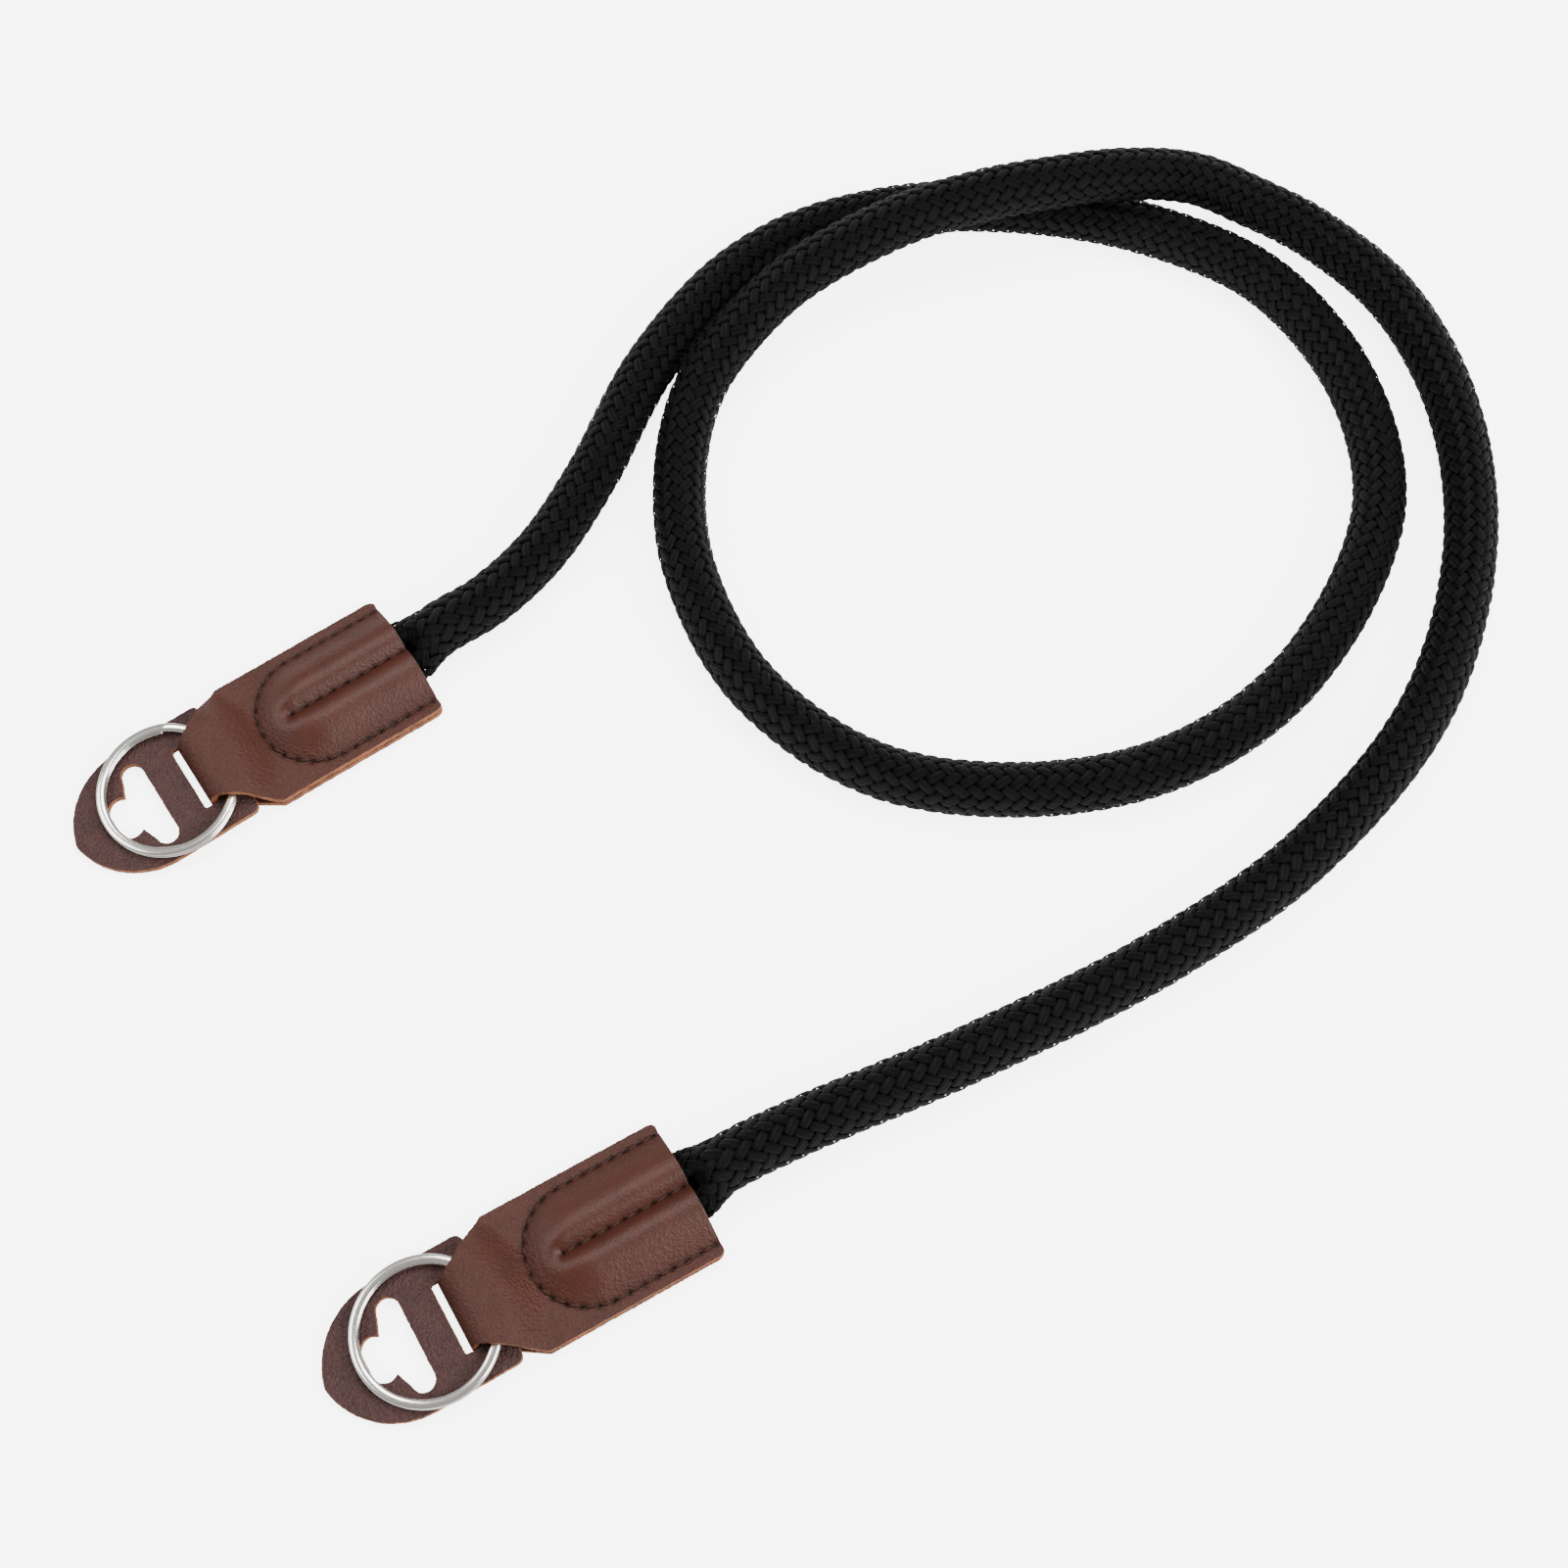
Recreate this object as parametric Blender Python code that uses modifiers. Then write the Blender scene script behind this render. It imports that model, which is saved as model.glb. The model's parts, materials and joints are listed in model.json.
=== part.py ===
# Camera neck strap: a braided rope whose two ends are sewn into folded leather tabs.
# Each tab holds a split ring and a leather protector with a T-shaped slot.
# Metres, +Z up. The strap lies on the floor at z = 0.

from math import acos, atan, cos, exp, hypot, pi, radians, sin, sqrt, tau

import bmesh
import bpy
from mathutils import Matrix, Vector

# Rope
ROPE_DIAMETER = 0.0100
ROPE_POINT_SPACING = 2.0
ROPE_BEVEL_RESOLUTION = 4

# Room between pieces that meet
CLEARANCE = 0.00025

# Leather end: one strip, folded over at x = 0, whose mouth is at x = END_LENGTH
LEATHER_THICKNESS = 0.0013
END_LENGTH = 0.0450
END_WIDTH = 0.0262
FOLD_WIDTH = 0.0128
SHOULDER_LENGTH = 0.0113
MOUTH_CORNER = 0.0015
LOWER_BEND_RADIUS = 0.0016
UPPER_BEND_RADIUS = 0.0034
CREST_OVER_RING = 0.0006
CREST_FALL = 0.0066

# Sewn pocket in the leather end
SEAM_INSET = 0.0022
POCKET_DEPTH = 0.0306
DOME_RISE = 0.0038
DOME_RAMP = 0.0074
CENTRE_SEAM_LENGTH = 0.0242
CENTRE_SEAM_WIDTH = 0.0017
CENTRE_SEAM_SHARE = 0.46

# Sewn end of the rope, pressed flat inside the pocket
PRESSED_FILL = 0.88
PRESSED_EDGE = 0.0012
PRESSED_INSET = 0.0020
MOUTH_ROPE_WIDTH = 0.0130
ROUNDING_LENGTH = 0.0070
NECKING_LENGTH = 0.0090

# Protector leaf
LEAF_THICKNESS = 0.0013
LEAF_WIDTH = 0.0248
LEAF_REACH = 0.0244
LEAF_TUCK = 0.0072
LEAF_CORNER = 0.0015
LEAF_TIP_RADIUS = 0.0149
SLIT_GAP = 0.0012
BAR_START = 0.0020
SLIT_CORNER = 0.0004
SLOT_FROM_FOLD = 0.0072
SLOT_BAR_LENGTH = 0.0177
SLOT_BAR_WIDTH = 0.0042
SLOT_STEM_WIDTH = 0.0084
SLOT_STEM_LENGTH = 0.0051
SLOT_STEM_RADIUS = 0.0023
SLOT_FLARE = 0.0011

# Split ring: two turns of flat wire
RING_DIAMETER = 0.0260
RING_WIRE_WIDTH = 0.0017
RING_WIRE_HEIGHT = 0.00080
RING_TURN_GAP = 0.00006
RING_STEP_ANGLE = radians(24)
RING_CENTRE = 0.0052

# Where each end lies: the middle of its mouth, and the way the rope leaves it
MOUTH_A = Vector((-0.00040, 0.06540, 0))
HEADING_A = radians(33.5)
RING_CUT_A = radians(66)
MOUTH_B = Vector((0.05347, -0.03593, 0))
HEADING_B = radians(29.6)
RING_CUT_B = radians(10)

# The rope's route from end A to end B, in millimetres
ROPE_ROUTE_MM = [
    (6.2, 69.8, 5.1),
    (14.2, 75.2, 5.1),
    (24.0, 85.8, 5.1),
    (33.0, 101.9, 5.1),
    (43.7, 126.2, 5.1),
    (58.8, 146.5, 5.1),
    (74.7, 157.2, 5.1),
    (98.7, 163.1, 5.1),
    (124.7, 162.1, 5.1),
    (146.5, 156.2, 5.1),
    (164.7, 145.6, 5.1),
    (178.7, 124.7, 5.1),
    (183.1, 100.2, 5.1),
    (177.3, 79.8, 5.1),
    (160.7, 56.0, 5.1),
    (138.7, 41.7, 5.1),
    (111.7, 36.9, 5.1),
    (85.7, 41.2, 5.1),
    (63.7, 58.0, 5.1),
    (52.1, 81.3, 5.1),
    (49.8, 100.2, 5.1),
    (52.1, 116.7, 6.0),
    (56.9, 126.7, 7.4),
    (70.6, 142.2, 10.0),
    (91.7, 153.6, 13.7),
    (107.9, 158.5, 15.4),
    (121.4, 161.2, 15.9),
    (136.0, 164.0, 14.9),
    (150.9, 165.8, 11.0),
    (162.7, 163.1, 7.1),
    (174.7, 156.9, 5.4),
    (189.3, 141.8, 5.1),
    (198.7, 117.2, 5.1),
    (199.1, 87.2, 5.1),
    (188.2, 54.2, 5.1),
    (164.7, 25.5, 5.1),
    (137.4, 5.5, 5.1),
    (101.7, -13.1, 5.1),
    (72.7, -25.8, 5.1),
    (59.8, -32.3, 5.1),
]

LEATHER_BROWN = (0.105, 0.032, 0.020, 1)
PROTECTOR_BROWN = (0.072, 0.028, 0.021, 1)
ROPE_BLACK = (0.006, 0.006, 0.007, 1)
NICKEL = (0.62, 0.60, 0.57, 1)

# Slope of the protector, whose tip rests on the floor
LEAF_PIVOT = LEATHER_THICKNESS / 2 + LOWER_BEND_RADIUS
LEAF_SLOPE = (LEATHER_THICKNESS + CLEARANCE) / (LEAF_REACH + LEAF_PIVOT)
RING_HEIGHT = 2 * RING_WIRE_HEIGHT + RING_TURN_GAP


def smooth(share):
    """0 to 1 with flat ends."""
    share = min(max(share, 0.0), 1.0)
    return share * share * (3 - 2 * share)


def leaf_bottom(x):
    return (x + LEAF_REACH) * LEAF_SLOPE


def ring_bottom(x):
    return leaf_bottom(x) + LEAF_THICKNESS * sqrt(1 + LEAF_SLOPE**2) + CLEARANCE


def material(name, colour, roughness, metallic=0.0):
    made = bpy.data.materials.new(name)
    made.use_nodes = True
    shader = made.node_tree.nodes["Principled BSDF"]
    shader.inputs["Base Color"].default_value = colour
    shader.inputs["Roughness"].default_value = roughness
    shader.inputs["Metallic"].default_value = metallic
    made.diffuse_color = colour
    return made


def add_object(name, data, finish, parent=None):
    made = bpy.data.objects.new(name, data)
    made.data.materials.append(finish)
    bpy.data.collections["camera_neck_strap"].objects.link(made)
    made.parent = parent
    return made


def arc(centre, radius, start, end, steps):
    """Points from one angle to another round a centre."""
    angles = [start + (end - start) * i / steps for i in range(steps + 1)]
    return [(centre[0] + radius * cos(a), centre[1] + radius * sin(a)) for a in angles]


# Leather end


def dome(x, y):
    """How far the sewn-in rope lifts the top layer above the flat seam."""
    seam = END_WIDTH / 2 - SEAM_INSET
    turn = END_LENGTH - POCKET_DEPTH + seam
    inside = seam - (abs(y) if x > turn else hypot(x - turn, y))
    share = min(max(inside / DOME_RAMP, 0), 1)
    swell = (share * (2 - share) + smooth(share)) / 2
    start = END_LENGTH - CENTRE_SEAM_LENGTH
    from_stitches = hypot(min(x - start, 0), y) / CENTRE_SEAM_WIDTH
    pinch = 1 - CENTRE_SEAM_SHARE * exp(-(from_stitches**2))
    return DOME_RISE * swell * pinch


def top_layer(x, y=0.0):
    """Middle of the top layer, without the dome: over the ring, then down to the seam."""
    flat = 1.5 * LEATHER_THICKNESS + CLEARANCE
    cover = RING_DIAMETER / 2 + CREST_OVER_RING
    over_ring = ring_bottom(min(x, cover - RING_CENTRE)) + RING_HEIGHT + CLEARANCE
    crest = over_ring + LEATHER_THICKNESS / 2
    share = min(max((hypot(x + RING_CENTRE, y) - cover) / CREST_FALL, 0), 1)
    return crest + (flat - crest) * (share + smooth(share)) / 2


def strip_line():
    """Rows along the strip's middle: x, z and whether the row is of the top layer."""
    low = LEATHER_THICKNESS / 2
    lower = (low + LOWER_BEND_RADIUS, low + LOWER_BEND_RADIUS)
    upper_x = low + UPPER_BEND_RADIUS
    upper = (upper_x, top_layer(upper_x) - UPPER_BEND_RADIUS)
    first, last, steps = lower[0], END_LENGTH, 12
    rows = [(last + (first - last) * i / steps, low, False) for i in range(steps)]
    rows += [(x, z, False) for x, z in arc(lower, LOWER_BEND_RADIUS, 1.5 * pi, pi, 3)]
    rows += [(x, z, False) for x, z in arc(upper, UPPER_BEND_RADIUS, pi, 0.5 * pi, 4)]
    steps = 24
    tops = [upper_x + (last - upper_x) * i / steps for i in range(1, steps + 1)]
    return rows + [(x, top_layer(x), True) for x in tops]


def strip_half_width(x):
    """Narrow at the fold, full width past the shoulders, rounded at the mouth."""
    start = LEATHER_THICKNESS
    share = min(max((x - start) / (SHOULDER_LENGTH - start), 0), 1)
    half = (FOLD_WIDTH + (END_WIDTH - FOLD_WIDTH) * share) / 2
    into_corner = min(max(x - (END_LENGTH - MOUTH_CORNER), 0), MOUTH_CORNER)
    return half - MOUTH_CORNER + sqrt(MOUTH_CORNER**2 - into_corner**2 * 0.75)


def leather_end(name, parent, finish):
    rows = strip_line()
    columns = 16
    mesh = bpy.data.meshes.new(name)
    cage = bmesh.new()
    bmesh.ops.create_grid(cage, x_segments=len(rows) - 1, y_segments=columns, size=1)
    for vertex in cage.verts:
        row = round((vertex.co.x + 1) / 2 * (len(rows) - 1))
        x, z, on_top = rows[row]
        y = vertex.co.y * strip_half_width(x)
        vertex.co = (x, y, top_layer(x, y) + dome(x, y) if on_top else z)
    cage.to_mesh(mesh)
    cage.free()
    made = add_object(name, mesh, finish, parent)
    wall = made.modifiers.new("wall", "SOLIDIFY")
    wall.thickness = LEATHER_THICKNESS
    wall.offset = 0
    wall.use_even_offset = True
    return made


# Sewn rope end


def pressed_section(x, count):
    """The flattened rope at x, as y, z points round it."""
    seam = END_WIDTH / 2 - SEAM_INSET
    turn = END_LENGTH - POCKET_DEPTH + seam
    half = sqrt(max((seam - PRESSED_INSET) ** 2 - min(x - turn, 0) ** 2, 0))
    necking = smooth((x - END_LENGTH + NECKING_LENGTH) / NECKING_LENGTH)
    half += (MOUTH_ROPE_WIDTH / 2 - half) * necking
    floor = LEATHER_THICKNESS + CLEARANCE
    points = []
    for i in range(count):
        angle = tau * i / count
        y = half * cos(angle)
        roof = LEATHER_THICKNESS + dome(min(x, END_LENGTH), y) * PRESSED_FILL
        roundness = abs(sin(angle)) ** 0.45
        middle = floor + (PRESSED_EDGE - CLEARANCE) / 2
        z = middle + (roof - middle if sin(angle) > 0 else floor - middle) * roundness
        points.append((y, z))
    return points


def round_section(count):
    radius = ROPE_DIAMETER / 2
    angles = [tau * i / count for i in range(count)]
    return [(radius * cos(a), radius + radius * sin(a)) for a in angles]


def rope_end(name, parent, finish):
    count = 24
    inner = END_LENGTH - POCKET_DEPTH + PRESSED_INSET + CLEARANCE
    outer = END_LENGTH + ROUNDING_LENGTH
    steps = 11
    stations = [inner + (END_LENGTH - inner) * (i / steps) ** 1.8 for i in range(1, steps + 1)]
    stations += [END_LENGTH + ROUNDING_LENGTH * i / 4 for i in range(1, 5)]
    mesh = bpy.data.meshes.new(name)
    body = bmesh.new()
    ring = bmesh.ops.create_circle(body, segments=count, radius=1)["verts"]
    ends = []
    for station, x in enumerate(stations):
        share = smooth((x - END_LENGTH) / (outer - END_LENGTH))
        section = zip(pressed_section(x, count), round_section(count))
        if station:
            edges = {edge for vertex in ring for edge in vertex.link_edges}
            rim = [edge for edge in edges if all(v in ring for v in edge.verts)]
            grown = bmesh.ops.extrude_edge_only(body, edges=rim)["geom"]
            fresh = {v for v in grown if isinstance(v, bmesh.types.BMVert)}
            ring = [next(e.other_vert(v) for e in v.link_edges if e.other_vert(v) in fresh) for v in ring]
        for vertex, (flat, full) in zip(ring, section):
            y, z = (flat[i] + (full[i] - flat[i]) * share for i in range(2))
            vertex.co = (x, y, z)
        ends.append(ring)
    for rim in (ends[0], ends[-1]):
        bmesh.ops.contextual_create(body, geom=rim)
    bmesh.ops.recalc_face_normals(body, faces=body.faces)
    body.to_mesh(mesh)
    body.free()
    return add_object(name, mesh, finish, parent)


# Protector


def leaf_outline():
    """Square inner end, straight sides and two arcs that meet in the tip."""
    half = LEAF_WIDTH / 2
    middle = half - LEAF_TIP_RADIUS
    along = sqrt(LEAF_TIP_RADIUS**2 - middle**2)
    centre = (-LEAF_REACH + along, middle)
    tip_angle = pi - acos(min(along / LEAF_TIP_RADIUS, 1)) * (1 if middle < 0 else -1)
    side = arc(centre, LEAF_TIP_RADIUS, 0.5 * pi, tip_angle, 8)
    corner = arc((LEAF_TUCK - LEAF_CORNER, half - LEAF_CORNER), LEAF_CORNER, 0, 0.5 * pi, 3)
    upper = corner + side
    return upper + [(x, -y) for x, y in reversed(upper[:-1])]


def slit_outline():
    """Slot that the leather strip passes through, beside the fold."""
    half = FOLD_WIDTH / 2 + CLEARANCE
    inset = SLIT_CORNER
    corners = (
        (BAR_START - inset, half - inset, 0.0),
        (-SLIT_GAP + inset, half - inset, 0.5),
        (-SLIT_GAP + inset, -half + inset, 1.0),
        (BAR_START - inset, -half + inset, 1.5),
    )
    return [p for x, y, turn in corners for p in arc((x, y), inset, turn * pi, (turn + 0.5) * pi, 2)]


def slot_outline():
    """T-shaped slot: a bar with round ends and a stem whose mouth is pinched by two cusps."""
    radius = SLOT_BAR_WIDTH / 2
    bar_x = -SLOT_FROM_FOLD - radius
    end = arc((bar_x, SLOT_BAR_LENGTH / 2 - radius), radius, 0, pi, 8)
    far = -SLOT_FROM_FOLD - SLOT_BAR_WIDTH - SLOT_STEM_LENGTH
    stem_centre = (far + SLOT_STEM_RADIUS, SLOT_STEM_WIDTH / 2 - SLOT_STEM_RADIUS)
    stem = arc(stem_centre, SLOT_STEM_RADIUS, 0.25 * pi, pi, 6)
    flare = (-SLOT_FROM_FOLD - SLOT_BAR_WIDTH - SLOT_FLARE / 2, SLOT_STEM_WIDTH / 2 + SLOT_FLARE)
    upper = end + [flare] + stem
    return upper + [(x, -y) for x, y in reversed(upper)]


def protector(name, parent, finish):
    outline = bpy.data.curves.new(name, "CURVE")
    outline.dimensions = "2D"
    outline.fill_mode = "BOTH"
    outline.extrude = LEAF_THICKNESS / 2
    for points in (leaf_outline(), slit_outline(), slot_outline()):
        spline = outline.splines.new("POLY")
        spline.points.add(len(points) - 1)
        spline.use_cyclic_u = True
        for point, (x, y) in zip(spline.points, points):
            point.co = (x, y, 0, 1)
    made = add_object(name, outline, finish, parent)
    made.matrix_local = leaf_plane(LEAF_THICKNESS / 2)
    return made


def leaf_plane(height, x=0.0):
    """Frame on the sloping leaf, a height above its underside."""
    slope = Matrix.Rotation(-atan(LEAF_SLOPE), 4, "Y")
    return Matrix.Translation((x, 0, leaf_bottom(x))) @ slope @ Matrix.Translation((0, 0, height))


# Split ring


def split_ring(name, parent, finish, cut_angle, profile):
    """Two turns of flat wire: it steps up from the lower turn just before the upper one begins."""
    wire = bpy.data.curves.new(name, "CURVE")
    wire.dimensions = "3D"
    wire.twist_mode = "Z_UP"
    wire.bevel_mode = "OBJECT"
    wire.bevel_object = profile
    wire.use_fill_caps = True
    per_turn = 36
    count = 2 * per_turn - round(per_turn * RING_STEP_ANGLE / tau)
    radius = (RING_DIAMETER - RING_WIRE_WIDTH) / 2
    pitch = RING_WIRE_HEIGHT + RING_TURN_GAP
    spline = wire.splines.new("POLY")
    spline.points.add(count)
    for i, point in enumerate(spline.points):
        angle = tau * i / per_turn
        rise = pitch * smooth((angle - tau + RING_STEP_ANGLE) / RING_STEP_ANGLE)
        place = angle + cut_angle
        point.co = (radius * cos(place), radius * sin(place), rise - pitch / 2, 1)
    made = add_object(name, wire, finish, parent)
    height = LEAF_THICKNESS + CLEARANCE + RING_HEIGHT / 2
    made.matrix_local = leaf_plane(height, -RING_CENTRE)
    return made


def wire_profile():
    """Section of the ring's wire, as a guide that isn't part of the strap."""
    outline = bpy.data.curves.new("wire_profile", "CURVE")
    outline.dimensions = "2D"
    spline = outline.splines.new("POLY")
    sides = 8
    spline.points.add(sides - 1)
    spline.use_cyclic_u = True
    for i, point in enumerate(spline.points):
        angle = -tau * (i + 0.5) / sides
        reach = 1 / cos(pi / sides)
        x = RING_WIRE_WIDTH / 2 * cos(angle) * reach
        point.co = (x, RING_WIRE_HEIGHT / 2 * sin(angle) * reach, 0, 1)
    guide = bpy.data.objects.new("wire_profile", outline)
    guide.hide_render = True
    guide.display_type = "WIRE"
    bpy.data.collections["guides"].objects.link(guide)
    return guide


# Free rope


def smooth_route(points, steps=16):
    """A curve through the points that doesn't overshoot where they lie close together."""
    ends = [2 * points[0] - points[1]] + points + [2 * points[-1] - points[-2]]
    line = []
    for a, b, c, d in zip(ends, ends[1:], ends[2:], ends[3:]):
        knots = [0.0]
        for p, q in ((a, b), (b, c), (c, d)):
            knots.append(knots[-1] + sqrt((q - p).length))
        for i in range(steps):
            t = knots[1] + (knots[2] - knots[1]) * i / steps
            line.append(blended(a, b, c, d, knots, t))
    return line + [points[-1]]


def blended(a, b, c, d, knots, t):
    first = a.lerp(b, (t - knots[0]) / (knots[1] - knots[0]))
    second = b.lerp(c, (t - knots[1]) / (knots[2] - knots[1]))
    third = c.lerp(d, (t - knots[2]) / (knots[3] - knots[2]))
    left = first.lerp(second, (t - knots[0]) / (knots[2] - knots[0]))
    right = second.lerp(third, (t - knots[1]) / (knots[3] - knots[1]))
    return left.lerp(right, (t - knots[1]) / (knots[2] - knots[1]))


def evenly(line, spacing):
    """Points at equal steps along a line, both of its ends among them."""
    runs = [0.0]
    for p, q in zip(line, line[1:]):
        runs.append(runs[-1] + (q - p).length)
    count = round(runs[-1] / spacing)
    made, at = [], 0
    for i in range(count + 1):
        target = runs[-1] * i / count
        while at < len(line) - 2 and runs[at + 1] < target:
            at += 1
        made.append(line[at].lerp(line[at + 1], (target - runs[at]) / (runs[at + 1] - runs[at])))
    return made


def free_rope(name, finish):
    route = [Vector(point) / 1000 for point in ROPE_ROUTE_MM]
    points = evenly(smooth_route(route), ROPE_POINT_SPACING * ROPE_DIAMETER)
    tube = bpy.data.curves.new(name, "CURVE")
    tube.dimensions = "3D"
    tube.bevel_depth = ROPE_DIAMETER / 2
    tube.bevel_resolution = ROPE_BEVEL_RESOLUTION
    tube.use_fill_caps = True
    spline = tube.splines.new("POLY")
    spline.points.add(len(points) - 1)
    for point, place in zip(spline.points, points):
        point.co = (*place, 1)
    return add_object(name, tube, finish)


def strap_end(letter, mouth, heading, cut_angle, finishes, profile):
    """One end of the strap, in a frame whose origin is the middle of the fold."""
    seat = bpy.data.objects.new("end_" + letter, None)
    bpy.data.collections["camera_neck_strap"].objects.link(seat)
    seat.rotation_euler.z = heading
    seat.location = mouth - END_LENGTH * Vector((cos(heading), sin(heading), 0))
    leather, leaf, rope, steel = finishes
    leather_end("leather_end_" + letter, seat, leather)
    rope_end("rope_end_" + letter, seat, rope)
    protector("protector_" + letter, seat, leaf)
    split_ring("split_ring_" + letter, seat, steel, cut_angle, profile)


def main():
    for old in list(bpy.data.objects):
        bpy.data.objects.remove(old)
    for name in ("camera_neck_strap", "guides"):
        bpy.context.scene.collection.children.link(bpy.data.collections.new(name))
    leather = material("leather", LEATHER_BROWN, 0.5)
    leaf = material("grained_leather", PROTECTOR_BROWN, 0.6)
    rope = material("braided_cord", ROPE_BLACK, 0.75)
    steel = material("nickel_plate", NICKEL, 0.22, 1.0)
    finishes = (leather, leaf, rope, steel)
    profile = wire_profile()
    strap_end("a", MOUTH_A, HEADING_A, RING_CUT_A, finishes, profile)
    strap_end("b", MOUTH_B, HEADING_B, RING_CUT_B, finishes, profile)
    free_rope("rope", rope)


main()
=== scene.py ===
"""The looks of a camera neck strap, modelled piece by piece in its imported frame."""

import json
from math import asin, atan, atan2, copysign, cos, exp, hypot, pi, radians, sin, sqrt, tau
from random import Random

import bmesh
import bpy
from bpy.props import FloatProperty, FloatVectorProperty, IntProperty, PointerProperty
from bpy.types import Operator, Panel, PropertyGroup
from mathutils import Matrix, Vector


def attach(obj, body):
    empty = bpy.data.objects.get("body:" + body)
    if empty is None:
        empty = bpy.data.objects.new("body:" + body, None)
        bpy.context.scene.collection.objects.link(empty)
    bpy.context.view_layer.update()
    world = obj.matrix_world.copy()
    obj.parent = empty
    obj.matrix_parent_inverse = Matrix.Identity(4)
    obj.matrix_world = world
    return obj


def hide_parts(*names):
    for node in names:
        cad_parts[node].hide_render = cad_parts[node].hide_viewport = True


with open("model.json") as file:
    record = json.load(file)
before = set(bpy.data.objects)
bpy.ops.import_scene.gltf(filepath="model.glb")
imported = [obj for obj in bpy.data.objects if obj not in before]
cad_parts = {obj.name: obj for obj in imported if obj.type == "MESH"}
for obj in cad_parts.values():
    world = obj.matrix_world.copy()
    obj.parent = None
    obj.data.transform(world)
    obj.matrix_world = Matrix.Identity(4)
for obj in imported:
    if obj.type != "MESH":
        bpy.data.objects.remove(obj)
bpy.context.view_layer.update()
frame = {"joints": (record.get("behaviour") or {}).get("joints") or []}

bl_info = {
    "name": "Camera Neck Strap",
    "version": (1, 0, 0),
    "blender": (4, 5, 0),
    "location": "3D View > Sidebar > Strap",
    "description": "Models a braided rope neck strap with sewn leather ends and split rings",
    "category": "Add Mesh",
}

ENDS = ("a", "b")

# Room between pieces that meet, the ring's middle from the fold, and the fold's two bends, as in the solids
CLEARANCE = 0.00025
RING_CENTRE = 0.0052
LOWER_BEND_RADIUS = 0.0016
UPPER_BEND_RADIUS = 0.0034

# The rope in its pocket: its middle as a share of the dome's rise, and the power that squares its sides
PRESSED_MIDDLE = 0.42
PRESSED_POWER = 0.45

# Distance between the points of the rope's middle line
LINE_STEP = 0.0005

# Half length of a float's strip, in crossings: past 1 it lies under the neighbouring row
FLOAT_REACH = 1.15

# Power of a float's arch: the higher, the flatter its top and the steeper its ends
FLOAT_ARCH = 5

# Points along and across a float, and the power that draws them together at its ends
FLOAT_COLUMNS = 7
FLOAT_ROWS = 4
FLOAT_CROWDING = 1.3

# How unlike each other the floats are in width, height and direction
UNEVEN_WIDTH = 0.05
UNEVEN_LIFT = 0.07
UNEVEN_LEAN = 0.05

# How far the yarn's pattern moves on from float to float, in millimetres
YARN_SHIFT = 7.3

# The core, coloured much less bright than the yarn as painted shade between the strands: its depth as a
# share of the rope's radius, how much deeper it lies in the pocket, its sides, and its steps along the rope
# in diameters
CORE_SINK = 0.045
PRESSED_CORE_SINK = 0.20
CORE_SIDES = 16
CORE_STEP = 0.25

# Rows of the strip's lower layer, two bends and upper layer, and its columns
LOWER_ROWS = 90
LOWER_BEND_ROWS = 6
UPPER_BEND_ROWS = 10
UPPER_ROWS = 160
STRIP_COLUMNS = 92

# How far from a seam its holes still show, and how strongly and widely the painted shade of a hole darkens
# the leather's colour
SEAM_REACH = 0.0015
HOLE_SHADE = 2.2
HOLE_SHADE_WIDTH = 0.00060

# Share of a seam's depth that shows on the underside, and how soon the rising leather counts as stretched
UNDERSIDE_SHARE = 0.5
STRETCH_GAIN = 1.3

# How far round the strip's corners go beside the rope: 1 is a full quarter circle
MOUTH_BLUNTNESS = 0.75

# How far the knife strays on the strips and on the protectors, and its steps round a protector
STRIP_WANDER = 0.00006
LEAF_WANDER = 0.00005
LEAF_STEP = 0.00045

# A stitch's half length as a share of the distance between holes, its radius as a share of the thread,
# its height above the leather, and its least and greatest turn from the seam, in degrees
STITCH_REACH = 0.37
STITCH_RADIUS = 0.46
STITCH_HEIGHT = 0.00010
STITCH_TURNS = (8, 15)

# Sides of the ring's wire, its steps in one turn, and where its end lies on each ring, in degrees
WIRE_SIDES = 20
STEPS_PER_TURN = 144
WIRE_ENDS = {"a": 66, "b": 10}

# Each lamp's name, place, size and power, and the point that all of them face
LAMPS = (
    ("overhead", (0.07, 0.43, 0.92), 0.5, 9.0),
    ("right", (0.9, -0.3, 0.7), 0.7, 22.0),
    ("left", (-0.8, 0.1, 0.8), 0.7, 10.0),
)
LAMP_AIM = (0.07, 0.04, 0)

# Width of the camera's sensor, in millimetres
SENSOR_WIDTH = 36

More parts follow.
